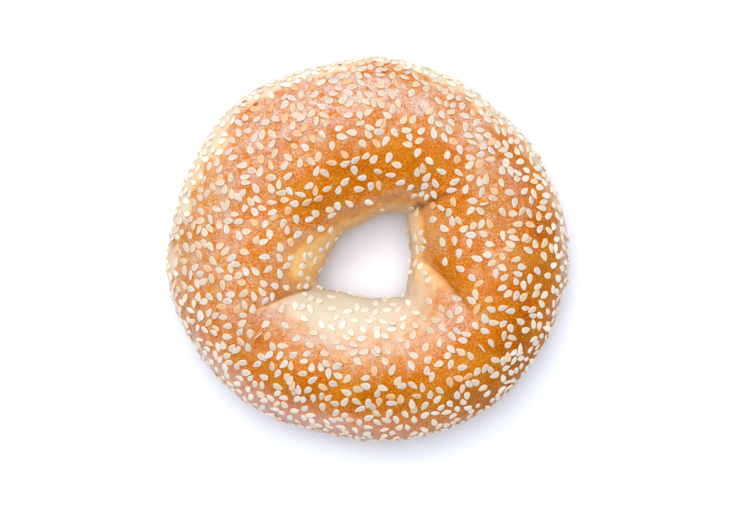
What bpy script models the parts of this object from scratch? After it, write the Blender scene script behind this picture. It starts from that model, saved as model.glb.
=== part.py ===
"""The bread of a sesame bagel: a rope of dough rolled by hand, closed into a ring and baked.

Metres, +Z up. The bagel lies on its flat base, and the origin is on the base, under the middle of the ring.

The ring is a loft of unlike sections. Each section stands in an upright plane that turns about the hole.
Its outline is given by a radius about a core point inside the dough, for each turn angle: 0 is outwards, 90
degrees up, 180 towards the hole and 270 down. That radius is half a flattened ellipse on either side of the
core, with slow lumps added and the creases taken away, down to the flat that the bagel rests on.
"""

import math

import bmesh
import bpy

MM = 0.001

# Driving sizes, in millimetres.
CORE_HEIGHT = 16.0  # of the ring's widest level above the table
BASE_SINK = 1.7  # how much of each section's ellipse the flat base cuts off
OUTER_FULLNESS = 2.15  # exponent of the ellipse on the outer side: 2 is a true one, more is squarer

# The outline is a circle with slow waves: height in millimetres, waves round the ring, phase in degrees.
OUTER_RADIUS = 55.1
OUTER_WAVES = (
    (0.35, 1, 71),
    (1.3, 2, 23),
    (0.5, 3, 104),
    (0.25, 4, 244),
    (0.25, 5, 0),
    (0.2, 6, 309),
    (0.25, 7, 143),
    (0.2, 8, 349),
)

# At eight equal steps round the ring from +X towards +Y: height of the crown, how far the core stands
# outwards of the dough's middle, and the exponent of the ellipse on the hole's side, where less is a
# gentler slope.
CROWN_HEIGHTS = (36.6, 37.2, 38.0, 37.8, 37.4, 36.2, 35.2, 35.8)
CORE_SHIFTS = (0.0, -1.2, -3.0, -3.4, -2.6, -1.5, -0.4, 0.6)
HOLE_FULLNESSES = (2.2, 2.3, 2.4, 2.2, 2.0, 1.9, 1.85, 1.9)

# The hole is a polygon with soft corners. Each side faces a direction, in degrees, at a distance from its
# centre.
HOLE_CENTRE = (0.0, -1.5)
HOLE_SIDES = (
    (8, 12.3),
    (90, 11.9),
    (115, 8.8),
    (150, 9.2),
    (207, 16.2),
    (258, 11.9),
    (273, 12.4),
    (353, 12.3),
)
HOLE_SHARPNESS = 26.0  # the higher it is, the tighter the corners

# The joints of the rope, which crease the wall of the hole and run out on the crown. Each goes up from "wall"
# to "end", directions in degrees, and swings over between two shares of the way up. It has one depth on the
# wall and one on the shoulder, which it keeps between the two shares in "deep". Then how far it takes to level
# out on its raised lip and on its slope. The lip is further round the ring if "lip_side" is 1.
CREASES = (
    {
        "wall": 46.0,
        "end": 35.0,
        "swing": (0.0, 1.0),
        "depths": (0.3, 2.2),
        "deep": (0.3, 0.6),
        "lip": 1.6,
        "slope": 3.5,
        "lip_side": 1,
    },
    {
        "wall": 212.0,
        "end": 207.0,
        "swing": (0.0, 1.0),
        "depths": (0.2, 1.5),
        "deep": (0.3, 0.6),
        "lip": 1.5,
        "slope": 2.2,
        "lip_side": 1,
    },
    {
        "wall": 353.5,
        "end": 330.0,
        "swing": (0.12, 0.88),
        "depths": (0.1, 2.0),
        "deep": (0.42, 0.78),
        "lip": 1.2,
        "slope": 4.5,
        "lip_side": -1,
    },
)
WALL_TURN = 180.0  # where the wall of the hole is upright
CREASE_TOP_TURN = 85.0  # where a crease ends on the crown
CREASE_FOOT_FROM, CREASE_FOOT_TO = 205.0, 236.0  # turns over which it runs out below the wall
CREASE_DEEPENS = 0.3  # share of the way up over which it goes from one depth to the other

# The end of the rope is tucked into the hole as a roll, between two creases, with a groove above it.
TUCK_FROM, TUCK_TO = -2.0, 45.0
TUCK_FADE = 6.0
TUCK_TURN = 150.0
TUCK_WIDTH = 7.0  # degrees of turn
TUCK_DEPTH = 1.3

# Slow lumps over the crown and the underside: height in millimetres, waves round the ring, waves round the
# section, phase in degrees.
LUMPS = ((0.45, 3, 2, 35), (0.35, 5, -3, 120), (0.25, 7, 4, 230))

STATIONS = 140  # sections round the ring
INNER_ROWS, OUTER_ROWS = 18, 12  # rows of points up the hole's side and down the outer side
BASE_BLEND = 0.5  # radians of turn over which lumps and creases fade out above the base

CRUST_COLOUR = (0.72, 0.34, 0.10, 1.0)
CRUST_ROUGHNESS = 0.5


def around(values, theta):
    """Smooth closed curve through values at equal steps round the ring, read at the angle theta."""
    count = len(values)
    place = theta / math.tau * count
    index = math.floor(place)
    t = place - index
    before, start, end, after = (values[(index + step) % count] for step in (-1, 0, 1, 2))
    bend = 2 * before - 5 * start + 4 * end - after
    twist = 3 * (start - end) + after - before
    return 0.5 * (2 * start + (end - before) * t + bend * t**2 + twist * t**3)


def smooth_step(low, high, value):
    t = min(1.0, max(0.0, (value - low) / (high - low)))
    return t * t * (3 - 2 * t)


def turn_between(a, b):
    """The shorter way from angle b to angle a, in degrees, -180 to 180."""
    return (a - b + 180.0) % 360.0 - 180.0


def hole_radius(theta):
    pull = 0.0
    for facing, distance in HOLE_SIDES:
        pull += max(0.0, math.cos(theta - math.radians(facing)) / distance) ** HOLE_SHARPNESS
    return pull ** (-1 / HOLE_SHARPNESS)


def outer_radius(theta):
    waves = (height * math.cos(n * theta + math.radians(phase)) for height, n, phase in OUTER_WAVES)
    return OUTER_RADIUS + sum(waves)


def section(theta):
    """The named sizes of the section at theta: where it starts and ends, its core and its crown."""
    facing = (math.cos(theta), math.sin(theta))
    inner_point = [HOLE_CENTRE[i] + hole_radius(theta) * facing[i] for i in (0, 1)]
    outer_point = [outer_radius(theta) * facing[i] for i in (0, 1)]
    width = math.dist(inner_point, outer_point)
    along = [(outer_point[i] - inner_point[i]) / width for i in (0, 1)]
    to_core = width / 2 + around(CORE_SHIFTS, theta)
    return {
        "core": [inner_point[i] + to_core * along[i] for i in (0, 1)],
        "along": along,
        "hole_side": to_core,
        "hole_fullness": around(HOLE_FULLNESSES, theta),
        "outer_side": width - to_core,
        "rise": around(CROWN_HEIGHTS, theta) - CORE_HEIGHT,
    }


def plain_radius(part, turn):
    """Radius of the smooth section about its core."""
    outwards = math.cos(turn) > 0
    side = part["outer_side"] if outwards else part["hole_side"]
    fullness = OUTER_FULLNESS if outwards or math.sin(turn) < 0 else part["hole_fullness"]
    height = part["rise"] if math.sin(turn) > 0 else CORE_HEIGHT + BASE_SINK
    across, up = abs(math.cos(turn) / side), abs(math.sin(turn) / height)
    return (across**fullness + up**fullness) ** (-1 / fullness)


def base_turns(part):
    """The turn angles of the base's outer and inner edges, outer first."""
    reach = (1 - (CORE_HEIGHT / (CORE_HEIGHT + BASE_SINK)) ** OUTER_FULLNESS) ** (1 / OUTER_FULLNESS)
    outer = math.atan2(CORE_HEIGHT, part["outer_side"] * reach)
    inner = math.atan2(CORE_HEIGHT, part["hole_side"] * reach)
    return -outer, math.pi + inner


def crease_depth(theta, turn, distance):
    """How far the rope's joints pull the surface in, at a distance from the hole's centre."""
    degrees = math.degrees(turn)
    climb = min(1.0, max(0.0, (WALL_TURN - degrees) / (WALL_TURN - CREASE_TOP_TURN)))
    above_foot = smooth_step(CREASE_FOOT_TO, CREASE_FOOT_FROM, degrees)
    deepest = 0.0
    for crease in CREASES:
        on_wall, on_shoulder = crease["depths"]
        deep_from, deep_to = crease["deep"]
        depth = on_wall + (on_shoulder - on_wall) * smooth_step(deep_from - CREASE_DEEPENS, deep_from, climb)
        depth *= above_foot * smooth_step(1.0, deep_to, climb)
        swing = smooth_step(*crease["swing"], climb)
        line = crease["wall"] + swing * turn_between(crease["end"], crease["wall"])
        offset = math.radians(turn_between(math.degrees(theta), line)) * distance
        fall = crease["lip"] if offset * crease["lip_side"] > 0 else crease["slope"]
        deepest = max(deepest, depth * math.exp(-abs(offset) / fall))
    return deepest


def tuck_depth(theta, turn):
    """The groove above the roll that is tucked into the hole."""
    place = turn_between(math.degrees(theta), 0.0)
    along = smooth_step(TUCK_FROM, TUCK_FROM + TUCK_FADE, place)
    along *= smooth_step(TUCK_TO, TUCK_TO - TUCK_FADE, place)
    across = (math.degrees(turn) - TUCK_TURN) / TUCK_WIDTH
    return TUCK_DEPTH * along * math.exp(-abs(across))


def lump_height(theta, turn):
    """The slow lumps. They fade out at the ring's widest level, so that the outline keeps its form."""
    waves = 0.0
    for height, n, m, phase in LUMPS:
        waves += height * math.sin(n * theta + m * turn + math.radians(phase))
    return waves * math.sin(turn)


def surface_point(part, theta, turn):
    """The point of the crust at a turn angle, in millimetres."""
    radius = plain_radius(part, turn)
    distance = math.dist(part["core"], HOLE_CENTRE) + radius * math.cos(turn)
    low, high = base_turns(part)
    above_base = smooth_step(low, low + BASE_BLEND, turn) * smooth_step(high, high - BASE_BLEND, turn)
    change = lump_height(theta, turn) - crease_depth(theta, turn, distance) - tuck_depth(theta, turn)
    radius += above_base * change
    x, y = (part["core"][i] + radius * math.cos(turn) * part["along"][i] for i in (0, 1))
    return x, y, CORE_HEIGHT + radius * math.sin(turn)


def section_points(theta):
    """One section's points, from the base's outer edge over the crown to its inner edge."""
    part = section(theta)
    low, high = base_turns(part)
    crown = math.pi / 2
    turns = [low + (crown - low) * i / OUTER_ROWS for i in range(OUTER_ROWS)]
    turns += [crown + (high - crown) * i / INNER_ROWS for i in range(INNER_ROWS + 1)]
    points = [surface_point(part, theta, turn) for turn in turns]
    for end in (0, -1):
        points[end] = (*points[end][:2], 0.0)  # both edges lie on the table
    return points


def loft(name, sections):
    """A closed ring of quads through sections with equal numbers of points."""
    bm = bmesh.new()
    rings = [[bm.verts.new(point) for point in points] for points in sections]
    for i, ring in enumerate(rings):
        following = rings[(i + 1) % len(rings)]
        for j in range(len(ring)):
            k = (j + 1) % len(ring)
            bm.faces.new((ring[j], following[j], following[k], ring[k]))
    mesh = bpy.data.meshes.new(name)
    bm.to_mesh(mesh)
    bm.free()
    return mesh


def centred(sections):
    """The sections in metres, moved so that the origin is under the middle of the bagel's box."""
    middle = []
    for axis in (0, 1):
        values = [point[axis] for points in sections for point in points]
        middle.append((min(values) + max(values)) / 2)
    shift_x, shift_y = middle
    return [
        [((x - shift_x) * MM, (y - shift_y) * MM, z * MM) for x, y, z in points]
        for points in sections
    ]


def crust_material():
    material = bpy.data.materials.new("crust")
    material.use_nodes = True
    shader = material.node_tree.nodes["Principled BSDF"]
    shader.inputs["Base Color"].default_value = CRUST_COLOUR
    shader.inputs["Roughness"].default_value = CRUST_ROUGHNESS
    shader.inputs["Metallic"].default_value = 0.0
    return material


def main():
    for obj in list(bpy.data.objects):
        bpy.data.objects.remove(obj)
    sections = [section_points(math.tau * i / STATIONS) for i in range(STATIONS)]
    mesh = loft("bagel", centred(sections))
    mesh.materials.append(crust_material())
    mesh.shade_smooth()
    bagel = bpy.data.objects.new("bagel", mesh)
    collection = bpy.data.collections.new("sesame_bagel")
    bpy.context.scene.collection.children.link(collection)
    collection.objects.link(bagel)


main()
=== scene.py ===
"""Looks of the sesame bagel: its browned crust, scattered seeds, a pale floor, soft light and the camera.

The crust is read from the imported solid. Rays from a core line inside the dough give the radius of each
section at each turn angle: 0 points outwards, 90 degrees up, 180 towards the hole and 270 down. The fine
creases and lumps are then worked into those radii. Lengths are in millimetres until a mesh is made. Places
on the bagel are given by their direction round the hole, counterclockwise from +X in degrees, and their
share of the way from its wall to the rim.
"""

import itertools
import math

import bpy
import numpy as np
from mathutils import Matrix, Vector
from mathutils.bvhtree import BVHTree


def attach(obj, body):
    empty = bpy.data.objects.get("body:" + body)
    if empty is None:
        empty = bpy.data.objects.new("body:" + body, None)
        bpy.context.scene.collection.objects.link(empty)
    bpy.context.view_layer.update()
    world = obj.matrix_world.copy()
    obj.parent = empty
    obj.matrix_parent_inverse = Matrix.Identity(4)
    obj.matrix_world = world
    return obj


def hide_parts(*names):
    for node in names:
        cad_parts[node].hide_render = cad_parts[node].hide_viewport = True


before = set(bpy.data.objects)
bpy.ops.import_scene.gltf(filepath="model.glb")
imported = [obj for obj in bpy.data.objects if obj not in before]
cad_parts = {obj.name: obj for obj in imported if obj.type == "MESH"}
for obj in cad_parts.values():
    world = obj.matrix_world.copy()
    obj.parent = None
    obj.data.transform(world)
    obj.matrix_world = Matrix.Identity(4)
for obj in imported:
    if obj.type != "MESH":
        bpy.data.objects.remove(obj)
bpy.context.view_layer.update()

MM = 0.001  # in metres
RANDOM_SEED = 11

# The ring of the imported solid.
HOLE_CENTRE = (0.0, -1.6)
CORE_HEIGHT = 16.0
SECTIONS = 520  # round the hole
ROWS = 188  # round each section
FINE_TURNS = 360  # rays cast for each section
FACET_TURN = 3.5  # degrees, the blur that rounds the solid's facets round a section
FACET_AROUND = 1.2  # and round the ring
BASE_ROW_SHARE = 0.5  # the flat base gets this share of the rows that its length would take

# The three creases. Each meets the wall of the hole at the direction "wall" and ends on the crown at "end".
# It swings over between two shares of the way up, and its fine crack starts between two turn angles on the
# wall. A lip stands beside it: towards larger directions if its side is 1, and smaller ones if it is -1.
CREASES = {
    "upper": {
        "wall": 46.0,
        "end": 35.0,
        "swing": (0.0, 1.0),
        "starts": (172.0, 150.0),
        "crack_depth": 0.35,
        "lip_side": 1,
        "lip_height": 0.4,
    },
    "lower": {
        "wall": 212.0,
        "end": 207.0,
        "swing": (0.0, 1.0),
        "starts": (175.0, 160.0),
        "crack_depth": 0.6,
        "lip_side": 1,
        "lip_height": 0.3,
    },
    "right": {
        "wall": 353.5,
        "end": 330.0,
        "swing": (0.12, 0.88),
        "starts": (155.0, 138.0),
        "crack_depth": 0.7,
        "lip_side": -1,
        "lip_height": 0.3,
    },
}
CLIMB = 95.0  # turn from the wall of the hole to where a crease has swung over
VALLEY_TURNS = (100.0, 188.0)  # between these the solid's valleys are deep enough to follow
VALLEY_BLUR = 12.0  # degrees round the ring, the level that a valley is measured from
VALLEY_REACH = 5.0  # degrees either side of the guess in which it is looked for
CREASE_END_TURNS = (92.0, 105.0)  # a crease fades out on the crown between these
CRACK_WIDTH = 0.45
CRACK_SHADE_WIDTH = 0.4  # of the painted shade along a crack
LIP_DISTANCE = 1.6
LIP_WIDTH = 1.1
CREASE_SHADE_WIDTH = 4.5  # of the painted shade in the dip beside the right crease

# Lumps of the crust: wavelength, height and random seed.
LUMPS = ((16.0, 0.16, 1), (6.0, 0.07, 2), (2.6, 0.03, 3))

# Where the rope's ends are pinched together, at the hole end of the upper crease.
PINCH = {"direction": 43.5, "distance": 19.0, "depth": 1.5, "width": 1.1}

# Where flakes of dry dough stand on the edge of the hole: direction and turn angle.
FLAKES = (
    (216.0, 172.0),
    (222.0, 170.0),
    (232.0, 171.0),
    (240.0, 168.0),
    (246.0, 172.0),
    (262.0, 171.0),
    (278.0, 170.0),
    (296.0, 171.0),
    (312.0, 171.0),
    (338.0, 172.0),
    (348.0, 170.0),
    (354.0, 173.0),
)

SEED_SIZE = (3.0, 1.8, 0.55)  # length, width and thickness
SEEDS_PER_AREA = 0.112  # seeds to a square millimetre at a density of 1


def smooth_step(low, high, value):
    t = np.clip((value - low) / (high - low), 0.0, 1.0)
    return t * t * (3 - 2 * t)


def turn_between(a, b):
    """The shorter way from angle b to angle a, in degrees, -180 to 180."""
    return (a - b + 180.0) % 360.0 - 180.0


def lobe(angle, middle, width):
    """1 at the middle direction, falling off to 0 on either side."""
    return np.exp(-((turn_between(angle, middle) / width) ** 2))


def field(points, wavelength, seed, waves=40):
    """Smooth random field with about unit variance, from plane waves near one wavelength."""
    rng = np.random.default_rng(seed)
    directions = rng.normal(size=(waves, 3))
    directions /= np.linalg.norm(directions, axis=1)[:, None]
    lengths = wavelength * rng.uniform(0.7, 1.5, waves)
    phases = rng.uniform(0, math.tau, waves)
    flat = points.reshape(-1, 3)
    total = np.zeros(len(flat))
    for direction, length, phase in zip(directions, lengths, phases):
        total += np.cos(flat @ direction * (math.tau / length) + phase)
    return (total * math.sqrt(2 / waves)).reshape(points.shape[:-1])


def blurred(values, around, turn):
    """Gaussian blur of a closed grid of sections and turn angles. The widths are in degrees."""
    waves = [np.fft.fftfreq(n, 1 / n) for n in values.shape]
    gains = [np.exp(-0.5 * (w * math.radians(width)) ** 2) for w, width in zip(waves, (around, turn))]
    return np.real(np.fft.ifft2(np.fft.fft2(values) * np.outer(*gains)))


class Ring:
    """The surface of the bread as a closed grid: sections round the hole, rows round each section."""

    def __init__(self, node):
        """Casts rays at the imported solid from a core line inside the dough."""
        tree = BVHTree.FromObject(node, bpy.context.evaluated_depsgraph_get())
        self.angles = np.arange(SECTIONS) * 360.0 / SECTIONS
        self.facing = np.stack([np.cos(np.radians(self.angles)), np.sin(np.radians(self.angles))], axis=1)
        self.turns = np.arange(FINE_TURNS) * 360.0 / FINE_TURNS - 90.0
        self.cores = np.zeros((SECTIONS, 3))
        self.radii = np.zeros((SECTIONS, FINE_TURNS))
        start = Vector((*HOLE_CENTRE, CORE_HEIGHT)) * MM
        cosines, sines = np.cos(np.radians(self.turns)), np.sin(np.radians(self.turns))
        for i, (x, y) in enumerate(self.facing):
            outwards = Vector((x, y, 0.0))
            wall = tree.ray_cast(start, outwards)[0]
            rim = tree.ray_cast(start + outwards * 0.1, -outwards)[0]
            core = (wall + rim) / 2
            self.cores[i] = core / MM
            for j in range(FINE_TURNS):
                towards = Vector((x * cosines[j], y * cosines[j], sines[j]))
                self.radii[i, j] = tree.ray_cast(core, towards)[3] / MM
        self.radii = blurred(self.radii, FACET_AROUND, FACET_TURN)

    def space_rows(self):
        """Chooses the turn angle of each row, at even steps along the section but wider on the base."""
        self.row_turns = np.zeros((SECTIONS, ROWS))
        self.row_radii = np.zeros((SECTIONS, ROWS))
        closed_turns = np.append(self.turns, self.turns[0] + 360.0)
        for i in range(SECTIONS):
            closed = np.append(self.radii[i], self.radii[i, 0])
            across = closed * np.cos(np.radians(closed_turns))
            up = closed * np.sin(np.radians(closed_turns))
            steps = np.hypot(np.diff(across), np.diff(up))
            on_base = (up[:-1] + CORE_HEIGHT) < 0.3
            steps[on_base] *= BASE_ROW_SHARE
            run = np.concatenate([[0.0], np.cumsum(steps)])
            places = np.arange(ROWS) * run[-1] / ROWS
            self.row_turns[i] = np.interp(places, run, closed_turns)
            self.row_radii[i] = np.interp(self.row_turns[i], closed_turns, closed)

    def points(self):
        across = self.row_radii * np.cos(np.radians(self.row_turns))
        up = self.row_radii * np.sin(np.radians(self.row_turns))
        return np.stack(
            [
                self.cores[:, None, 0] + across * self.facing[:, None, 0],
                self.cores[:, None, 1] + across * self.facing[:, None, 1],
                CORE_HEIGHT + up,
            ],
            axis=-1,
        )

    def valley(self, crease):
        """Direction of a crease's deepest line, as a smooth function of the turn angle."""
        crease_shade = self.radii - blurred(self.radii, VALLEY_BLUR, 0.0)
        turns, directions = [], []
        for j, turn in enumerate(self.turns):
            if not VALLEY_TURNS[0] < turn < VALLEY_TURNS[1]:
                continue
            swing = smooth_step(*crease["swing"], (180.0 - turn) / CLIMB)
            guess = crease["wall"] + swing * turn_between(crease["end"], crease["wall"])
            near = np.abs(turn_between(self.angles, guess)) < VALLEY_REACH
            place = np.argmin(np.where(near, crease_shade[:, j], np.inf))
            turns.append(turn)
            directions.append(crease["wall"] + turn_between(self.angles[place], crease["wall"]))
        return np.polynomial.Polynomial.fit(turns, directions, 5)


def plan(points):
    """Direction from the hole's centre in degrees and distance from it, for each point."""
    x = points[..., 0] - HOLE_CENTRE[0]
    y = points[..., 1] - HOLE_CENTRE[1]
    return np.degrees(np.arctan2(y, x)) % 360.0, np.hypot(x, y)


def crease_lines(ring):
    """For each crease: distance across it, positive on its lip's side, and how strongly it runs there."""
    found = {}
    points = ring.points()
    direction, distance = plan(points)
    for name, crease in CREASES.items():
        line = ring.valley(crease)(np.clip(ring.row_turns, *VALLEY_TURNS))
        across = np.radians(turn_between(direction, line)) * distance * crease["lip_side"]
        run = smooth_step(*CREASE_END_TURNS, ring.row_turns)
        run = run * smooth_step(*crease["starts"], ring.row_turns)
        found[name] = (across, run)
    return found


def from_pinch(points):
    """Distance of each point from the pinch, as seen from above."""
    x = math.cos(math.radians(PINCH["direction"])) * PINCH["distance"] + HOLE_CENTRE[0]
    y = math.sin(math.radians(PINCH["direction"])) * PINCH["distance"] + HOLE_CENTRE[1]
    return np.hypot(points[..., 0] - x, points[..., 1] - y)


def work_crust(ring):
    """Works the fine relief into the ring's radii.

    Returns the masks that the crust's colours need: painted shade along the cracks and in the pinch,
    painted shade in the dip on the upper side of the right crease, and the band between the lower and the
    right crease, which stayed pale.
    """
    lines = crease_lines(ring)
    points = ring.points()
    _, distance = plan(points)
    relief = sum(height * field(points, wavelength, seed) for wavelength, height, seed in LUMPS)
    crack_shade = np.zeros(relief.shape)
    for name, (across, run) in lines.items():
        crease = CREASES[name]
        relief -= crease["crack_depth"] * run * np.exp(-np.abs(across) / CRACK_WIDTH)
        relief += crease["lip_height"] * run * np.exp(-(((across - LIP_DISTANCE) / LIP_WIDTH) ** 2))
        crack_shade = np.maximum(crack_shade, run * np.exp(-((across / CRACK_SHADE_WIDTH) ** 2)))
    above = smooth_step(5.0, 12.0, points[..., 2])
    pinch = above * np.exp(-((from_pinch(points) / PINCH["width"]) ** 2))
    relief -= PINCH["depth"] * pinch
    high_enough = smooth_step(0.2, 3.0, points[..., 2])
    ring.row_radii += relief * high_enough
    # The pale band's edge at the right crease is sharp on the crown and soft on the wall of the hole.
    lower_side = smooth_step(-0.7, 0.7, lines["lower"][0])
    edge = 0.6 + 3.4 * smooth_step(26.0, 17.0, distance)
    right_side = smooth_step(-edge, edge, lines["right"][0])
    across, run = lines["right"]
    # Painted shade in the dip on the upper side of the right crease.
    crease_shade = run * smooth_step(0.3, -0.6, across) * np.exp(-((across / CREASE_SHADE_WIDTH) ** 2))
    return {"crack_shade": crack_shade, "pinch": pinch, "crease_shade": crease_shade, "front_band": lower_side * right_side}


def finished_points(ring):
    """The ring's points, kept on or above the floor."""
    points = ring.points()
    points[..., 2] = np.maximum(points[..., 2], 0.0)
    return points


def grid_normals(points):
    around = np.roll(points, -1, axis=0) - np.roll(points, 1, axis=0)
    along = np.roll(points, -1, axis=1) - np.roll(points, 1, axis=1)
    normals = np.cross(around, along)
    return normals / np.linalg.norm(normals, axis=-1)[..., None]


def ring_share(points):
    """Direction of each point, and its share of the way from the wall to the rim as seen from above."""
    direction, distance = plan(points)
    inner = distance.min(axis=1)[:, None]
    outer = distance.max(axis=1)[:, None]
    return direction, (distance - inner) / (outer - inner)


# Patches of the crust: direction and share of the way to the rim where each is strongest, how far it
# reaches in both, and its strength. These are baked darker, or less dark if the strength is below 0.
BAKED_PATCHES = (
    (86.0, 0.30, 44.0, 0.14, 0.20),
    (60.0, 0.40, 22.0, 0.10, 0.12),
    (108.0, 0.34, 16.0, 0.07, 0.12),
    (140.0, 0.23, 14.0, 0.07, 0.16),
    (6.0, 0.82, 28.0, 0.13, 0.28),
    (52.0, 0.84, 16.0, 0.07, 0.06),
    (328.0, 0.84, 32.0, 0.20, 0.31),
    (278.0, 0.72, 42.0, 0.12, 0.25),
    (226.0, 0.70, 26.0, 0.10, 0.08),
    (145.0, 0.84, 24.0, 0.08, -0.12),
    (192.0, 0.78, 24.0, 0.12, -0.07),
)
# Painted sheen: pink and whitish highlights and reflections laid into the colour, and less of it where the
# strength is below 0.
SHEEN_PATCHES = (
    (108.0, 0.70, 48.0, 0.16, 0.24),
    (42.0, 0.70, 28.0, 0.12, 0.22),
    (90.0, 0.76, 26.0, 0.11, 0.27),
    (150.0, 0.70, 22.0, 0.13, 0.08),
    (182.0, 0.58, 24.0, 0.13, 0.18),
    (226.0, 0.37, 20.0, 0.05, 0.20),
    (6.0, 0.50, 24.0, 0.15, 0.08),
    (125.0, 0.50, 20.0, 0.08, 0.07),
    (270.0, 0.46, 16.0, 0.05, 0.06),
    (275.0, 0.36, 34.0, 0.06, 0.20),
    (325.0, 0.34, 13.0, 0.08, 0.22),
    (218.0, 0.97, 30.0, 0.07, 0.26),
    (212.0, 0.60, 16.0, 0.09, 0.12),
    (2.0, 0.98, 22.0, 0.05, 0.40),
    (118.0, 0.97, 26.0, 0.05, 0.30),
    (305.0, 0.85, 26.0, 0.12, -0.12),
    (300.0, 0.48, 24.0, 0.10, -0.06),
)
# Smooth mauve painted reflection of the white surroundings on the crust.
REFLECTION_PATCHES = (
    (248.0, 0.93, 38.0, 0.10, 0.55),
    (250.0, 1.00, 40.0, 0.05, 0.14),
    (322.0, 0.38, 14.0, 0.09, 0.16),
)
# Yellower ones.
YELLOW_PATCHES = (
    (170.0, 0.84, 34.0, 0.11, 0.4),
    (10.0, 0.20, 22.0, 0.06, 0.4),
    (285.0, 0.80, 30.0, 0.08, 0.3),
    (121.0, 0.15, 18.0, 0.05, 0.6),
    (60.0, 0.15, 16.0, 0.05, 0.5),
)


def patches(points, places):
    """Strength of the patches, summed, for each point."""
    direction, share = ring_share(points)
    total = np.zeros(share.shape)
    for middle, place, width, depth, strength in places:
        total += strength * lobe(direction, middle, width) * np.exp(-(((share - place) / depth) ** 2))
    return total


def turned_under(points, normals):
    """1 where the crust turns under at the rim and stayed pale, which it hardly did at the lower right."""
    direction, share = ring_share(points)
    from_slope = 0.76 + 0.06 * lobe(direction, 105.0, 75.0) + 0.10 * lobe(direction, 152.0, 24.0)
    from_slope += 0.045 * field(points, 14.0, 31) + 0.025 * field(points, 5.0, 32)
    from_slope += 0.06 * lobe(direction, 55.0, 20.0) - 0.08 * lobe(direction, 207.0, 20.0)
    under = smooth_step(from_slope, from_slope - 0.40, normals[..., 2]) * smooth_step(0.5, 0.6, share)
    return under * (1 - 0.95 * lobe(direction, 318.0, 44.0)) * (1 - 0.6 * lobe(direction, 252.0, 38.0))


def browning(points, normals, front_band, crease_shade):
    """How far the crust is browned, 0 to 1.

    From pale on the wall of the hole it turns golden between two shares of the way to the rim. On the front
    band it does so further out. It is paler again where it turns under at the rim, and the base is brown.
    """
    direction, share = ring_share(points)
    left = lobe(direction, 187.0, 22.0)
    lower_right = lobe(direction, 325.0, 28.0)
    upper, corner, right = (lobe(direction, middle, 24.0) for middle in (120.0, 30.0, 352.0))
    pale_to = -0.02 + 0.17 * left + 0.03 * corner - 0.03 * right + 0.04 * upper
    gold_from = 0.19 + 0.20 * left + 0.08 * corner + 0.04 * right - 0.03 * upper
    band_pale_to = 0.01 + 0.15 * lobe(direction, 235.0, 20.0) - 0.22 * lower_right
    band_gold_from = 0.65 - 0.08 * lobe(direction, 235.0, 20.0)
    pale_to += front_band * (band_pale_to - pale_to)
    gold_from += front_band * (band_gold_from - gold_from)
    least = 0.04 * (1 - front_band)
    # The painted shade beside the right crease browns the crust further.
    most = 0.58 + 0.25 * crease_shade + patches(points, BAKED_PATCHES)
    brown = least + (most - least) * smooth_step(pale_to, gold_from, share)
    brown *= 1 - 0.92 * turned_under(points, normals)
    below = smooth_step(-0.15, -0.75, normals[..., 2])
    return brown * (1 - below) + 0.72 * below


def add_attribute(mesh, name, values):
    attribute = mesh.attributes.new(name, "FLOAT", "POINT")
    attribute.data.foreach_set("value", np.ascontiguousarray(values, np.float32).ravel())


def mesh_object(name, points, faces, smooth=True):
    """An object with its points given in millimetres."""
    mesh = bpy.data.meshes.new(name)
    mesh.from_pydata((np.reshape(points, (-1, 3)) * MM).tolist(), [], faces)
    if smooth:
        mesh.shade_smooth()
    piece = bpy.data.objects.new(name, mesh)
    bpy.context.scene.collection.objects.link(piece)
    return piece


def grid_faces(sections, rows):
    i, j = np.meshgrid(np.arange(sections), np.arange(rows), indexing="ij")
    following, above = (i + 1) % sections, (j + 1) % rows
    corners = (i * rows + j, following * rows + j, following * rows + above, i * rows + above)
    return np.stack(corners, axis=-1).reshape(-1, 4).tolist()


# Materials


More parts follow.
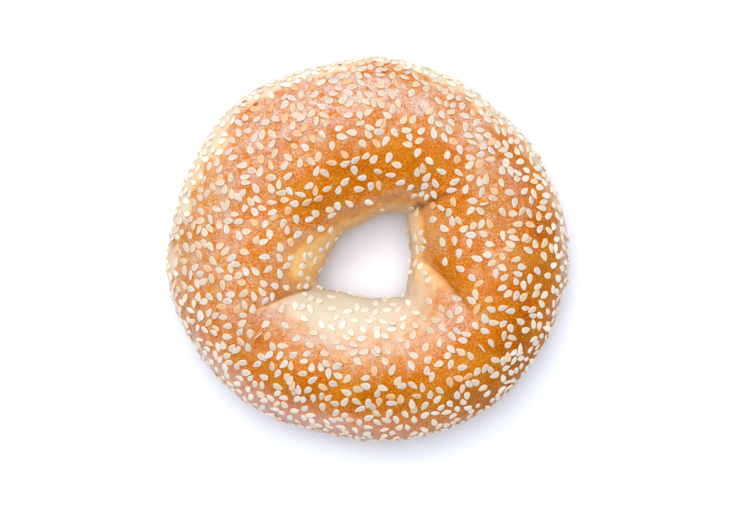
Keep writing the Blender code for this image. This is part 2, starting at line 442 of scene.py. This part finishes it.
class Nodes:
    """Adds nodes to a material and links them, so that a material reads as a list of steps."""

    def __init__(self, name):
        self.material = bpy.data.materials.new(name)
        self.material.use_nodes = True
        self.tree = self.material.node_tree
        self.shader = self.tree.nodes["Principled BSDF"]

    def add(self, kind, settings=None, inputs=None):
        node = self.tree.nodes.new(kind)
        for key, value in (settings or {}).items():
            setattr(node, key, value)
        for key, value in (inputs or {}).items():
            self.put(node.inputs[key], value)
        return node

    def put(self, socket, value):
        if isinstance(value, bpy.types.NodeSocket):
            self.tree.links.new(value, socket)
        else:
            socket.default_value = value

    def attribute(self, name):
        return self.add("ShaderNodeAttribute", {"attribute_name": name}).outputs["Fac"]

    def place(self):
        return self.add("ShaderNodeTexCoord").outputs["Object"]

    def noise(self, size, detail=2.0, roughness=0.5):
        """Noise whose features are about size millimetres across."""
        inputs = {"Vector": self.place(), "Scale": 1 / (size * MM)}
        inputs |= {"Detail": detail, "Roughness": roughness}
        return self.add("ShaderNodeTexNoise", inputs=inputs).outputs["Fac"]

    def cells(self, size):
        """Distance from the nearest of many scattered points, in shares of their spacing."""
        inputs = {"Vector": self.place(), "Scale": 1 / (size * MM)}
        return self.add("ShaderNodeTexVoronoi", inputs=inputs).outputs["Distance"]

    def away_from(self, spot):
        """Distance from a spot, in millimetres."""
        gap = self.add("ShaderNodeVectorMath", {"operation": "DISTANCE"})
        self.put(gap.inputs[0], self.place())
        self.put(gap.inputs[1], tuple(spot * MM))
        return self.math("DIVIDE", gap.outputs["Value"], MM)

    def math(self, operation, a, b):
        node = self.add("ShaderNodeMath", {"operation": operation})
        self.put(node.inputs[0], a)
        self.put(node.inputs[1], b)
        return node.outputs[0]

    def spread(self, value, low, high, out_low=0.0, out_high=1.0):
        """Maps a range of value to another, clamped."""
        inputs = {
            "Value": value,
            "From Min": low,
            "From Max": high,
            "To Min": out_low,
            "To Max": out_high,
        }
        return self.add("ShaderNodeMapRange", {"clamp": True}, inputs).outputs["Result"]

    def ramp(self, value, stops):
        node = self.add("ShaderNodeValToRGB", inputs={"Fac": value})
        elements = node.color_ramp.elements
        while len(elements) < len(stops):
            elements.new(0.5)
        for element, (place, colour) in zip(elements, stops):
            element.position = place
            element.color = (*colour, 1.0)
        return node.outputs["Color"]

    def mix(self, factor, a, b):
        node = self.add("ShaderNodeMix", {"data_type": "RGBA"})
        self.put(node.inputs["Factor"], factor)
        for socket, value in ((node.inputs[6], a), (node.inputs[7], b)):
            self.put(socket, value if isinstance(value, bpy.types.NodeSocket) else (*value, 1.0))
        return node.outputs[2]

    def bump(self, height, distance, strength=1.0, normal=None):
        inputs = {"Height": height, "Distance": distance * MM, "Strength": strength}
        if normal is not None:
            inputs["Normal"] = normal
        return self.add("ShaderNodeBump", inputs=inputs).outputs["Normal"]


# Colours of the crust. The pale ones come first, then the browned ones from the least browned on.
CREAM = (0.70, 0.62, 0.50)
STRAW = (0.95, 0.64, 0.30)
AMBER = (0.82, 0.39, 0.09)
ROSE = (0.74, 0.40, 0.20)
PEACH = (0.625, 0.265, 0.080)
GOLD = (0.565, 0.160, 0.005)
ORANGE = (0.49, 0.130, 0.002)
BROWN = (0.36, 0.088, 0.001)

YELLOW = (0.57, 0.24, 0.02)
# Colour of the painted sheen, a highlight laid into the crust's colour.
SHEEN_HIGHLIGHT = (0.65, 0.62, 0.63)
# Colour of the painted reflection, the mauve glare of the white surroundings on the crust.
MAUVE_REFLECTION = (0.88, 0.53, 0.54)
# Light specks: partly the crust's own texture, partly painted glints of light on tiny blisters.
LIGHT_SPECK_AND_GLINT = (0.88, 0.47, 0.18)
GOLDEN_SPECK_AND_GLINT = (0.80, 0.34, 0.03)
DARK_SPECK = (0.36, 0.06, 0.004)
# Painted shade along the cracks.
CRACK_SHADE = (0.34, 0.12, 0.02)
# Painted shade in the pinch's hollow.
PINCH_SHADE = (0.36, 0.26, 0.15)

# Small marks in the crust: place as seen from above, radius and colour.
MARKS = (
    (-8.0, 51.1, 0.70, (0.02, 0.010, 0.008)),
    (-30.9, 39.8, 0.95, (0.45, 0.10, 0.03)),
    (-1.9, 7.7, 0.35, (0.10, 0.04, 0.02)),
    (16.2, 6.0, 0.30, (0.12, 0.06, 0.03)),
)


def seen_from_above(points, normals, x, y):
    """The point of the crust that shows at a place in the plan."""
    away = np.hypot(points[..., 0] - x, points[..., 1] - y)
    return points.reshape(-1, 3)[np.argmin(np.where(normals[..., 2] > 0.05, away, np.inf))]


def broken_browning(n, patchy):
    """The browning, broken up by noise. On pale crust the noise does less."""
    brown = n.attribute("browning")
    for noise, strength in ((n.noise(11.0), 0.45), (patchy, 0.42), (n.noise(0.55, roughness=0.6), 0.30)):
        change = n.math("MULTIPLY", n.math("SUBTRACT", noise, 0.5), strength)
        brown = n.math("ADD", brown, n.math("MULTIPLY", change, n.spread(brown, 0.0, 0.4, 0.25, 1.0)))
    return brown


def baked_colour(n, brown):
    """Cream or straw where the crust stayed pale, then rose or amber, then peach, gold and brown."""
    cream = n.attribute("cream")
    browned = n.ramp(brown, [(0.34, PEACH), (0.60, GOLD), (0.80, ORANGE), (1.0, BROWN)])
    colour = n.mix(n.spread(brown, 0.12, 0.36), n.mix(cream, AMBER, ROSE), browned)
    yellow = n.math("MULTIPLY", n.spread(n.noise(9.0, detail=1.0), 0.48, 0.66), 0.45)
    yellow = n.math("MAXIMUM", yellow, n.attribute("yellow"))
    colour = n.mix(n.math("MULTIPLY", yellow, n.spread(brown, 0.30, 0.45)), colour, YELLOW)
    coloured = n.math("DIVIDE", brown, n.spread(cream, 0.0, 1.0, 1.0, 1.75))
    return n.mix(n.spread(coloured, 0.02, 0.20), n.mix(cream, STRAW, CREAM), colour)


def with_painted_sheen(n, colour, brown):
    """Painted sheen, speckled like highlights on tiny blisters, and smooth mauve painted reflection, over a
    colour.
    """
    speckle = 0.0
    for size, strength in ((7.0, 3.6), (2.4, 4.4), (1.1, 3.2), (0.45, 4.0)):
        change = n.math("MULTIPLY", n.math("SUBTRACT", n.noise(size, roughness=0.6), 0.5), strength)
        speckle = n.math("ADD", change, speckle)
    sheen_everywhere = n.math("MULTIPLY", n.spread(brown, 0.48, 0.64, 0.13, 0.0), n.spread(brown, 0.22, 0.40))
    painted_sheen = n.math("ADD", n.attribute("painted_sheen"), sheen_everywhere)
    painted_sheen = n.math("MULTIPLY", painted_sheen, n.math("ADD", speckle, 1.0))
    colour = n.mix(n.math("MAXIMUM", painted_sheen, 0.0), colour, SHEEN_HIGHLIGHT)
    return n.mix(n.attribute("painted_reflection"), colour, MAUVE_REFLECTION)


def speckled(n, colour, brown, specks, blisters):
    """Fine dark specks, and light specks, pores and blisters that are partly the crust's texture and partly
    painted glints, over a colour.
    """
    baked = n.spread(brown, 0.15, 0.45)
    light = n.mix(n.spread(brown, 0.50, 0.75), LIGHT_SPECK_AND_GLINT, GOLDEN_SPECK_AND_GLINT)
    colour = n.mix(n.math("MULTIPLY", baked, n.spread(specks, 0.54, 0.72, 0.0, 0.72)), colour, light)
    colour = n.mix(n.math("MULTIPLY", baked, n.spread(specks, 0.46, 0.29, 0.0, 0.70)), colour, DARK_SPECK)
    pores = n.spread(n.cells(0.75), 0.26, 0.14)
    pores = n.math("MULTIPLY", pores, n.spread(n.noise(1.6), 0.42, 0.56))
    # Light pores and blisters, partly painted glints.
    colour = n.mix(n.math("MULTIPLY", pores, n.spread(brown, 0.30, 0.70, 0.15, 0.40)), colour, light)
    return n.mix(n.math("MULTIPLY", blisters, 0.45), colour, light)


def crust_material(marks):
    """The crust. Each mark has its spot on the crust, its radius and its colour."""
    n = Nodes("crust")
    patchy = n.noise(2.8, detail=3.0)
    specks = n.noise(0.42, detail=1.0)
    blisters = n.math("MULTIPLY", n.spread(n.cells(1.5), 0.20, 0.10), n.spread(n.noise(2.0), 0.50, 0.60))
    brown = broken_browning(n, patchy)
    colour = with_painted_sheen(n, baked_colour(n, brown), brown)
    colour = speckled(n, colour, brown, specks, blisters)
    for spot, radius, tint in marks:
        colour = n.mix(n.spread(n.away_from(spot), radius, 0.6 * radius), colour, tint)
    # Painted shade along the cracks.
    colour = n.mix(n.math("MULTIPLY", n.attribute("crack_shade"), 0.55), colour, CRACK_SHADE)
    # Painted shade in the pinch's hollow.
    colour = n.mix(n.math("MULTIPLY", n.attribute("pinch"), 0.7), colour, PINCH_SHADE)
    n.put(n.shader.inputs["Base Color"], colour)
    n.put(n.shader.inputs["Roughness"], n.spread(patchy, 0.3, 0.7, 0.42, 0.55))
    n.put(n.shader.inputs["IOR"], 1.17)
    n.put(n.shader.inputs["Specular Tint"], (1.0, 0.60, 0.20, 1.0))
    n.put(n.shader.inputs["Subsurface Weight"], 0.2)
    n.put(n.shader.inputs["Subsurface Scale"], 0.003)
    n.put(n.shader.inputs["Subsurface Radius"], (1.0, 0.55, 0.3))
    fine = n.bump(specks, 0.14, 0.8)
    n.put(n.shader.inputs["Normal"], n.bump(n.math("ADD", patchy, blisters), 0.12, 0.6, fine))
    return n.material


# Pale seeds on pale crust, and painted fill light on seeds of the front rim.
PALE_AND_LIT_SEED = (0.98, 0.92, 0.82)
# Golden painted shade where a seed's upper face turns down to its outline.
SEED_SHOULDER_SHADE = (0.80, 0.47, 0.20)


def seed_material(name, middle, rim, tip):
    """A hulled seed: translucent middle, brighter rim, golden painted shade on the shoulder, and a tone of
    its own.

    Its attributes: edge is 0 in the middle and 1 at the outline, point is 1 at the point, shoulder_shade is
    1 where the upper face turns down and takes painted shade, and tone and pale_and_lit have one value for
    each seed; pale_and_lit is partly painted fill light.
    """
    n = Nodes(name)
    tone = n.attribute("tone")
    colour = n.mix(n.spread(n.attribute("edge"), 0.35, 0.85), middle, rim)
    colour = n.mix(n.math("MULTIPLY", n.attribute("point"), 0.6), colour, tip)
    colour = n.mix(n.spread(tone, 0.0, 1.0, 0.0, 0.55), colour, tip)
    # Paler seeds, partly painted fill light.
    colour = n.mix(n.math("MULTIPLY", n.attribute("pale_and_lit"), 0.9), colour, PALE_AND_LIT_SEED)
    # Painted shade, golden, where the seed's upper face turns down to its outline.
    colour = n.mix(n.math("MULTIPLY", n.attribute("shoulder_shade"), 0.65), colour, SEED_SHOULDER_SHADE)
    n.put(n.shader.inputs["Base Color"], colour)
    n.put(n.shader.inputs["Roughness"], n.spread(n.noise(0.6), 0.3, 0.7, 0.42, 0.6))
    n.put(n.shader.inputs["Subsurface Weight"], 0.35)
    n.put(n.shader.inputs["Subsurface Scale"], 0.0008)
    n.put(n.shader.inputs["Subsurface Radius"], (1.0, 0.8, 0.55))
    n.put(n.shader.inputs["Normal"], n.bump(n.noise(0.35), 0.03, 0.5))
    return n.material


def flake_material():
    n = Nodes("flakes")
    colour = n.mix(n.noise(0.5, detail=1.0), (0.92, 0.85, 0.74), (0.82, 0.71, 0.56))
    n.put(n.shader.inputs["Base Color"], colour)
    n.put(n.shader.inputs["Roughness"], n.spread(n.noise(0.3), 0.3, 0.7, 0.45, 0.6))
    n.put(n.shader.inputs["Subsurface Weight"], 0.3)
    n.put(n.shader.inputs["Subsurface Scale"], 0.001)
    return n.material


def floor_material():
    n = Nodes("studio_floor")
    n.put(n.shader.inputs["Base Color"], (0.80, 0.86, 0.95, 1.0))
    n.put(n.shader.inputs["Roughness"], 0.8)
    n.put(n.shader.inputs["Emission Color"], (0.80, 0.86, 1.0, 1.0))
    n.put(n.shader.inputs["Emission Strength"], 0.11)
    return n.material


# Seeds

SEED_SEGMENTS = 18
SEED_BLUNTNESS = 0.6  # 0 for an ellipse, more for a finer point
SEED_MIDDLE = -0.15  # of the faces, in half lengths, towards the blunt end
# Rings from the middle of the upper face to the middle of the lower face: share of the outline, and share
# of the half thickness. The upper face is a little dished.
SEED_RINGS = (
    (0.0, 0.80),
    (0.48, 0.86),
    (0.80, 0.92),
    (0.96, 0.55),
    (1.0, 0.0),
    (0.88, -0.62),
    (0.45, -0.95),
    (0.0, -1.0),
)


def seed_form():
    """A seed of unit length, width and thickness, with its point towards +X: points, faces and masks."""
    t = np.arange(SEED_SEGMENTS) * math.tau / SEED_SEGMENTS
    x = np.cos(t)
    y = np.sin(t) * np.abs(np.sin(t / 2)) ** SEED_BLUNTNESS
    y /= np.abs(y).max()
    points, edges, faces = [], [], []
    for share, height in SEED_RINGS:
        corners = range(SEED_SEGMENTS) if share > 0.0 else (0,)
        for k in corners:
            points.append((SEED_MIDDLE * (1 - share) + x[k] * share, y[k] * share, height))
            edges.append(share)
    bands = len(SEED_RINGS) - 3
    for k in range(SEED_SEGMENTS):
        following = (k + 1) % SEED_SEGMENTS
        faces.append((0, 1 + k, 1 + following))
        for band in range(bands):
            a = 1 + band * SEED_SEGMENTS
            b = a + SEED_SEGMENTS
            faces.append((a + k, b + k, b + following, a + following))
        last = 1 + bands * SEED_SEGMENTS
        faces.append((last + k, len(points) - 1, last + following))
    points = np.array(points)
    masks = {
        "edge": np.array(edges),
        "point": np.clip(points[:, 0], 0.0, 1.0) ** 2,
        # Where painted shade is laid: the upper face turning down.
        "shoulder_shade": smooth_step(0.95, 0.5, points[:, 2]) * (1 - 0.5 * smooth_step(0.5, 0.0, points[:, 2])),
    }
    return points / 2, faces, masks


def seed_density(points, normals):
    """How thickly the seeds lie at each point of the crust, as a share of SEEDS_PER_AREA."""
    direction, share = ring_share(points)
    slope = normals[..., 2]
    # Thinner towards the hole, above it and past the right crease, and thicker at the lower left.
    density = 0.48 + 0.52 * smooth_step(0.30, 0.60, share)
    density *= 1 - 0.40 * lobe(direction, 95.0, 40.0) * smooth_step(0.80, 0.45, share)
    density *= 1 - 0.30 * smooth_step(0.30, 0.10, share)
    density *= 1 + 0.35 * lobe(direction, 218.0, 35.0) * smooth_step(0.40, 0.55, share)
    density *= 1 - 0.50 * lobe(direction, 340.0, 26.0) * smooth_step(0.48, 0.34, share)
    # Thinning out below the rim, few on the wall of the hole and none low down there.
    outer_side = share > 0.5
    below_rim = 0.35 * smooth_step(-0.55, -0.2, slope) + 0.65 * smooth_step(-0.05, 0.15, slope)
    density *= np.where(outer_side, below_rim, 1.0)
    density *= np.where(outer_side, 1.0, 0.07 + 0.93 * smooth_step(0.25, 0.65, slope))
    density *= np.where(outer_side, 1.0, smooth_step(7.0, 15.0, points[..., 2]))
    # Uneven everywhere, a cluster at the pinch, none across a crease or over a mark.
    density *= np.clip(1 + 0.28 * field(points, 14.0, 21), 0.25, 1.8)
    density *= 1 + 2.0 * np.exp(-((from_pinch(points) / 4.0) ** 2))
    density *= smooth_step(0.55, 0.25, hollow(points, normals))
    for x, y, _, _ in MARKS:
        density *= smooth_step(1.5, 2.2, np.hypot(points[..., 0] - x, points[..., 1] - y))
    return np.clip(density, 0.0, 1.7)


HOLLOW_REACH = 0.45  # in seed lengths


def hollow(points, normals):
    """How far the crust rises round each point, in millimetres, within the reach of a seed."""
    i, j = np.meshgrid(np.arange(SECTIONS), np.arange(ROWS), indexing="ij")
    highest = np.zeros(i.shape)
    for axis, side in ((0, 1), (0, -1), (1, 1), (1, -1)):
        step = np.linalg.norm(np.roll(points, -side, axis=axis) - points, axis=-1)
        steps = side * np.rint(HOLLOW_REACH * SEED_SIZE[0] / step).astype(int)
        if axis == 0:
            there = points[(i + steps) % SECTIONS, j]
        else:
            there = points[i, (j + steps) % ROWS]
        highest = np.maximum(highest, np.sum((there - points) * normals, axis=-1))
    return highest


# Three discs stand for a seed where overlaps are looked for: place along it as a share of its length, and
# radius as a share of its width.
SEED_DISCS = np.array([(-0.30, 0.40), (0.0, 0.46), (0.26, 0.34)])
TOUCHING = 0.03  # overlap from which one seed lies partly on another, as a share of two discs' reach
RESTING = 0.20  # overlap from which it rests on the other fully
MOST_OVERLAP = 0.45
OVERLAPS_KEPT = 0.05  # share of the seeds that would touch another and still stay
RESTING_LIFT = 0.75  # in seed thicknesses
RESTING_TILT = 0.22  # in radians
TRIES = 12  # places tried for each seed
SHIFT = 0.3  # the most that a place is moved from a point of the crust's grid, along each axis


def nearby(buckets, key):
    """The seeds in one cell and in those next to it."""
    cells = (tuple(a + b for a, b in zip(key, step)) for step in itertools.product((-1, 0, 1), repeat=3))
    return [seed for cell in cells for seed in buckets.get(cell, ())]


def deepest_overlap(discs, others):
    """The most that a seed's discs overlap another seed's, and where that other seed lies."""
    reaches = SEED_DISCS[:, 1] * SEED_SIZE[1]
    overlap, rests_on = 0.0, discs[1]
    for other in others:
        gaps = np.linalg.norm(discs[:, None] - other["discs"][None], axis=-1)
        deepest = float((1 - gaps / (reaches[:, None] + reaches[None])).max())
        if deepest > overlap:
            overlap, rests_on = deepest, other["spot"]
    return overlap, rests_on


def seed_candidates(points, normals, rng):
    """How many seeds the crust gets, and the points of its grid where places for them are tried."""
    following = np.roll(points, -1, axis=0)
    above = np.roll(points, -1, axis=1)
    area = np.linalg.norm(np.cross(following - points, above - points), axis=-1)
    weight = (area * seed_density(points, normals)).ravel()
    wanted = int(weight.sum() * SEEDS_PER_AREA)
    return wanted, rng.choice(len(weight), size=wanted * TRIES, p=weight / weight.sum())


def scatter(points, normals, browned, rng):
    """Places of the seeds: position, normal, direction in the surface, lift and tilt.

    A few lie partly on a neighbour, with the end that rests on it raised.
    """
    wanted, candidates = seed_candidates(points, normals, rng)
    flat_points, flat_normals, flat_browned = points.reshape(-1, 3), normals.reshape(-1, 3), browned.ravel()
    offsets = SEED_DISCS[:, :1] * SEED_SIZE[0]
    buckets, placed = {}, []
    for index in candidates:
        if len(placed) == wanted:
            break
        normal = flat_normals[index]
        spin = rng.uniform(0, math.tau)
        side = np.cross(normal, (math.cos(spin), math.sin(spin), 0.3))
        side /= np.linalg.norm(side)
        shift = rng.uniform(-SHIFT, SHIFT, 3)
        spot = flat_points[index] + shift - normal * np.dot(shift, normal)
        discs = spot + offsets * side
        key = tuple((spot // SEED_SIZE[0]).astype(int))
        overlap, rests_on = deepest_overlap(discs, nearby(buckets, key))
        roll = rng.uniform()
        if overlap > MOST_OVERLAP or (overlap > TOUCHING and roll > OVERLAPS_KEPT):
            continue
        resting = smooth_step(TOUCHING, RESTING, overlap)
        seed = {
            "spot": spot,
            "normal": normal,
            "side": side,
            "discs": discs,
            "lift": RESTING_LIFT * resting * SEED_SIZE[2],
            "tilt": RESTING_TILT * resting * np.sign(np.dot(side, rests_on - spot)),
            "browned": flat_browned[index],
        }
        buckets.setdefault(key, []).append(seed)
        placed.append(seed)
    return placed


def turned(a, b, angle):
    """Two perpendicular directions, turned in their plane from the first towards the second."""
    return a * math.cos(angle) + b * math.sin(angle), b * math.cos(angle) - a * math.sin(angle)


# How unlike each other the seeds are.
SIZE_SPREAD = (0.07, 0.08, 0.10)
SIZE_LIMITS = (0.78, 1.22)
BEND_SPREAD = 0.03
TILT_SPREAD = 0.08
ROLL_SPREAD = 0.12
SUNK = (0.24, 0.40)  # least and most, in seed thicknesses
ON_EDGE = 0.004  # share of the seeds that stand on edge
EDGE_ROLL = (0.9, 1.5)
CLEAR_OF_FLOOR = 0.05


def seed_points(form, seed, rng):
    """The points of one seed in place: a little bent, tilted and sunk into the crust."""
    size = np.array(SEED_SIZE) * rng.normal(1.0, SIZE_SPREAD).clip(*SIZE_LIMITS)
    local = form * size
    local[:, 1] += rng.normal(0, BEND_SPREAD) * (local[:, 0] ** 2 - 0.6)
    normal, side = seed["normal"], seed["side"]
    tilt = seed["tilt"] + rng.normal(0, TILT_SPREAD)
    roll = rng.normal(0, ROLL_SPREAD)
    sunk = rng.uniform(*SUNK) * size[2]
    if rng.uniform() < ON_EDGE:
        roll += rng.choice((-1, 1)) * rng.uniform(*EDGE_ROLL)
        sunk = -0.1 * size[1]
    across, normal = turned(np.cross(normal, side), normal, roll)
    side, normal = turned(side, normal, tilt)
    middle = seed["spot"] + seed["normal"] * (size[2] / 2 - sunk + seed["lift"])
    placed = middle + local[:, :1] * side + local[:, 1:2] * across + local[:, 2:] * normal
    placed[:, 2] = np.maximum(placed[:, 2], CLEAR_OF_FLOOR)
    return placed


SEED_KINDS = {
    # share of the seeds on browned crust, colours of the middle, the rim and the tip
    "sesame_ivory": (0.60, (0.59, 0.50, 0.43), (0.68, 0.62, 0.58), (0.68, 0.53, 0.37)),
    "sesame_cream": (0.27, (0.60, 0.48, 0.34), (0.69, 0.59, 0.48), (0.67, 0.46, 0.27)),
    "sesame_toasted": (0.13, (0.66, 0.39, 0.20), (0.74, 0.50, 0.30), (0.70, 0.34, 0.13)),
}


def kind_of(browned, roll):
    """The kind of one seed. The seeds on pale crust are paler too."""
    ivory, cream, _ = (kind[0] for kind in SEED_KINDS.values())
    roll *= 0.75 + 0.25 * smooth_step(0.1, 0.5, browned)
    return list(SEED_KINDS)[int(roll > ivory) + int(roll > ivory + cream)]


def paleness_and_painted_fill(seeds, rng):
    """How pale each seed is: more so on pale crust, and lighter on the rim towards the front and the right
    as painted fill light.
    """
    on_pale = smooth_step(0.30, 0.10, np.array([seed["browned"] for seed in seeds]))
    x, y, z = np.array([seed["normal"] for seed in seeds]).T
    # Painted fill light: seeds on the rim away from the softboxes are made lighter.
    painted_fill = smooth_step(0.97, 0.60, z) * smooth_step(0.5, -0.1, y - x / 2)
    return np.maximum(on_pale, painted_fill) * rng.uniform(0.6, 1.0, len(seeds))


def repeated(faces, corners, times):
    """Faces of many copies of one form that has so many corners."""
    return [[corner + k * corners for corner in face] for k in range(times) for face in faces]


def make_seeds(points, normals, browned):
    """The seeds of each kind, as one piece, sunk a little into the crust."""
    rng = np.random.default_rng(RANDOM_SEED)
    form, faces, masks = seed_form()
    seeds = scatter(points, normals, browned, rng)
    kinds = [kind_of(seed["browned"], rng.uniform()) for seed in seeds]
    for name, (_, middle, rim, tip) in SEED_KINDS.items():
        chosen = [seed for seed, kind in zip(seeds, kinds) if kind == name]
        all_points = np.array([seed_points(form, seed, rng) for seed in chosen])
        piece = mesh_object(name, all_points, repeated(faces, len(form), len(chosen)))
        for mask, values in masks.items():
            add_attribute(piece.data, mask, np.tile(values, len(chosen)))
        add_attribute(piece.data, "tone", np.repeat(rng.uniform(0, 1, len(chosen)) ** 2, len(form)))
        add_attribute(piece.data, "pale_and_lit", np.repeat(paleness_and_painted_fill(chosen, rng), len(form)))
        piece.data.materials.append(seed_material(name, middle, rim, tip))
        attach(piece, "root")


FLAKE_SIDES = 7
FLAKE_THICKNESS = 0.12
FLAKE_REACH = (0.35, 0.80)  # shortest and longest, from its middle to a corner
FLAKE_HEIGHT = 0.8  # in shares of its width
FLAKE_CURL = 0.25
FLAKE_RISE = 0.25  # of its middle above the crust
FLAKE_SCATTER = 0.7  # from the place where flakes stand, along each axis


def flake_corners(spot, normal, rng):
    """Corners of one flake near a spot: a small ragged plate, a little curled, that stands on the crust."""
    middle = spot + rng.uniform(-FLAKE_SCATTER, FLAKE_SCATTER, 3)
    wide = np.cross(normal, rng.normal(size=3))
    wide /= np.linalg.norm(wide)
    tall = normal + rng.normal(0, 0.4, 3)
    tall /= np.linalg.norm(tall)
    turns = np.arange(FLAKE_SIDES) * math.tau / FLAKE_SIDES + rng.uniform(0, 0.6, FLAKE_SIDES)
    reaches = rng.uniform(*FLAKE_REACH, FLAKE_SIDES)
    thick = np.cross(wide, tall)
    corners = []
    for level in (-FLAKE_THICKNESS / 2, FLAKE_THICKNESS / 2):
        for turn, reach in zip(turns, reaches):
            curl = FLAKE_CURL * math.cos(turn) ** 2 * reach
            spread = wide * math.cos(turn) * reach + tall * math.sin(turn) * reach * FLAKE_HEIGHT
            corners.append(middle + tall * FLAKE_RISE + spread + thick * (level + curl))
    return corners


def flake_faces(first):
    """Faces of one flake whose corners start at a number: its two sides, then the strip round them."""
    lower = [first + k for k in range(FLAKE_SIDES)]
    upper = [corner + FLAKE_SIDES for corner in lower]
    faces = [lower[::-1], upper]
    for k in range(FLAKE_SIDES):
        following = (k + 1) % FLAKE_SIDES
        faces.append([lower[k], lower[following], upper[following], upper[k]])
    return faces


def make_flakes(ring, points, normals):
    """Thin ragged flakes of dry dough that stand on the lower edge of the hole."""
    rng = np.random.default_rng(RANDOM_SEED + 1)
    corners, faces = [], []
    for direction, turn in FLAKES:
        i = int(round(direction / 360.0 * SECTIONS)) % SECTIONS
        j = int(np.argmin(np.abs(ring.row_turns[i] - turn)))
        for _ in range(rng.integers(2, 5)):
            faces += flake_faces(len(corners))
            corners += flake_corners(points[i, j], normals[i, j], rng)
    piece = mesh_object("flakes", np.array(corners), faces, smooth=False)
    piece.data.materials.append(flake_material())
    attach(piece, "root")


def creaminess(points, normals, front_band):
    """1 where pale crust is cream and not straw: on the front band, the right wall and under the rim."""
    direction, share = ring_share(points)
    front_cream = front_band * (1 - 0.7 * lobe(direction, 346.0, 16.0))
    right_wall = 0.6 * lobe(direction, 30.0, 45.0) * smooth_step(0.10, 0.04, share)
    under = 0.8 * turned_under(points, normals)
    return np.maximum(np.maximum(front_cream, right_wall), under)


def make_crust():
    """The bread's crust and its flakes. Returns what the seeds need: points, normals and browning."""
    ring = Ring(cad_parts["bagel"])
    ring.space_rows()
    masks = work_crust(ring)
    front_band = masks.pop("front_band")
    crease_shade = masks.pop("crease_shade")
    points = finished_points(ring)
    normals = grid_normals(points)
    facing_up = smooth_step(-0.25, 0.15, normals[..., 2])
    masks["browning"] = browning(points, normals, front_band, crease_shade)
    # Painted sheen on crust that faces up, with less of it in the painted shade beside the right crease.
    masks["painted_sheen"] = patches(points, SHEEN_PATCHES) * facing_up - 0.3 * crease_shade
    # Painted reflection on crust that faces up enough.
    masks["painted_reflection"] = patches(points, REFLECTION_PATCHES) * facing_up
    masks["yellow"] = patches(points, YELLOW_PATCHES)
    masks["cream"] = creaminess(points, normals, front_band)
    crust = mesh_object("crust", points, grid_faces(SECTIONS, ROWS))
    for name, values in masks.items():
        add_attribute(crust.data, name, values)
    marks = [(seen_from_above(points, normals, x, y), radius, tint) for x, y, radius, tint in MARKS]
    crust.data.materials.append(crust_material(marks))
    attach(crust, "root")
    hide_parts("bagel")
    make_flakes(ring, points, normals)
    return points, normals, masks["browning"]


# The studio

FRAME_WIDTH = 212.5  # of what the camera sees at the level of the outline
VIEW_CENTRE = (2.1, -3.8)
LENS, SENSOR = 85.0, 36.0
FLOOR_HALF = 3000.0
SKY_STRENGTH = 0.58
# The sky is dull in front and overhead and turns white towards the back: place along +Y and colour.
SKY_STOPS = ((0.0, (0.62, 0.63, 0.66, 1.0)), (0.7, (1.0, 1.0, 1.0, 1.0)))
# Softboxes: name, place and size in metres, and power in watts.
SOFTBOXES = (
    ("key_softbox", (-0.12, 0.72, 0.66), (0.5, 0.30), 1.25),
    ("overhead_softbox", (-0.09, 0.19, 1.15), (0.75, 0.75), 13.1),
)


def make_floor():
    """A wide pale floor under the bread."""
    corners = [(-1, -1, 0), (1, -1, 0), (1, 1, 0), (-1, 1, 0)]
    floor = mesh_object("studio_floor", np.array(corners) * FLOOR_HALF, [(0, 1, 2, 3)], smooth=False)
    floor.data.materials.append(floor_material())


def area_light(name, place, size, power):
    """A white softbox, turned towards the bagel."""
    data = bpy.data.lights.new(name, "AREA")
    data.shape = "RECTANGLE"
    data.size, data.size_y = size
    data.energy = power
    light = bpy.data.objects.new(name, data)
    light.location = place
    light.rotation_euler = (-Vector(place)).to_track_quat("-Z", "Y").to_euler()
    bpy.context.scene.collection.objects.link(light)


def make_sky():
    """A pale sky, brightest towards the back."""
    world = bpy.data.worlds.new("studio")
    world.use_nodes = True
    tree = world.node_tree
    background = tree.nodes["Background"]
    background.inputs["Strength"].default_value = SKY_STRENGTH
    place = tree.nodes.new("ShaderNodeTexCoord")
    split = tree.nodes.new("ShaderNodeSeparateXYZ")
    tree.links.new(place.outputs["Generated"], split.inputs["Vector"])
    fade = tree.nodes.new("ShaderNodeValToRGB")
    for element, (position, colour) in zip(fade.color_ramp.elements, SKY_STOPS):
        element.position = position
        element.color = colour
    tree.links.new(split.outputs["Y"], fade.inputs["Fac"])
    tree.links.new(fade.outputs["Color"], background.inputs["Color"])
    bpy.context.scene.world = world


def make_studio():
    make_floor()
    for name, place, size, power in SOFTBOXES:
        area_light(name, place, size, power)
    make_sky()
    bpy.context.scene.view_settings.view_transform = "Standard"


def make_camera():
    """A camera straight above. The outline of the bread lies at the ring's widest level."""
    data = bpy.data.cameras.new("camera")
    data.lens, data.sensor_width = LENS, SENSOR
    camera = bpy.data.objects.new("camera", data)
    height = CORE_HEIGHT + FRAME_WIDTH * LENS / SENSOR
    camera.location = Vector((*VIEW_CENTRE, height)) * MM
    bpy.context.scene.collection.objects.link(camera)
    bpy.context.scene.camera = camera


crust_points, crust_normals, crust_browned = make_crust()
make_seeds(crust_points, crust_normals, crust_browned)
make_studio()
make_camera()
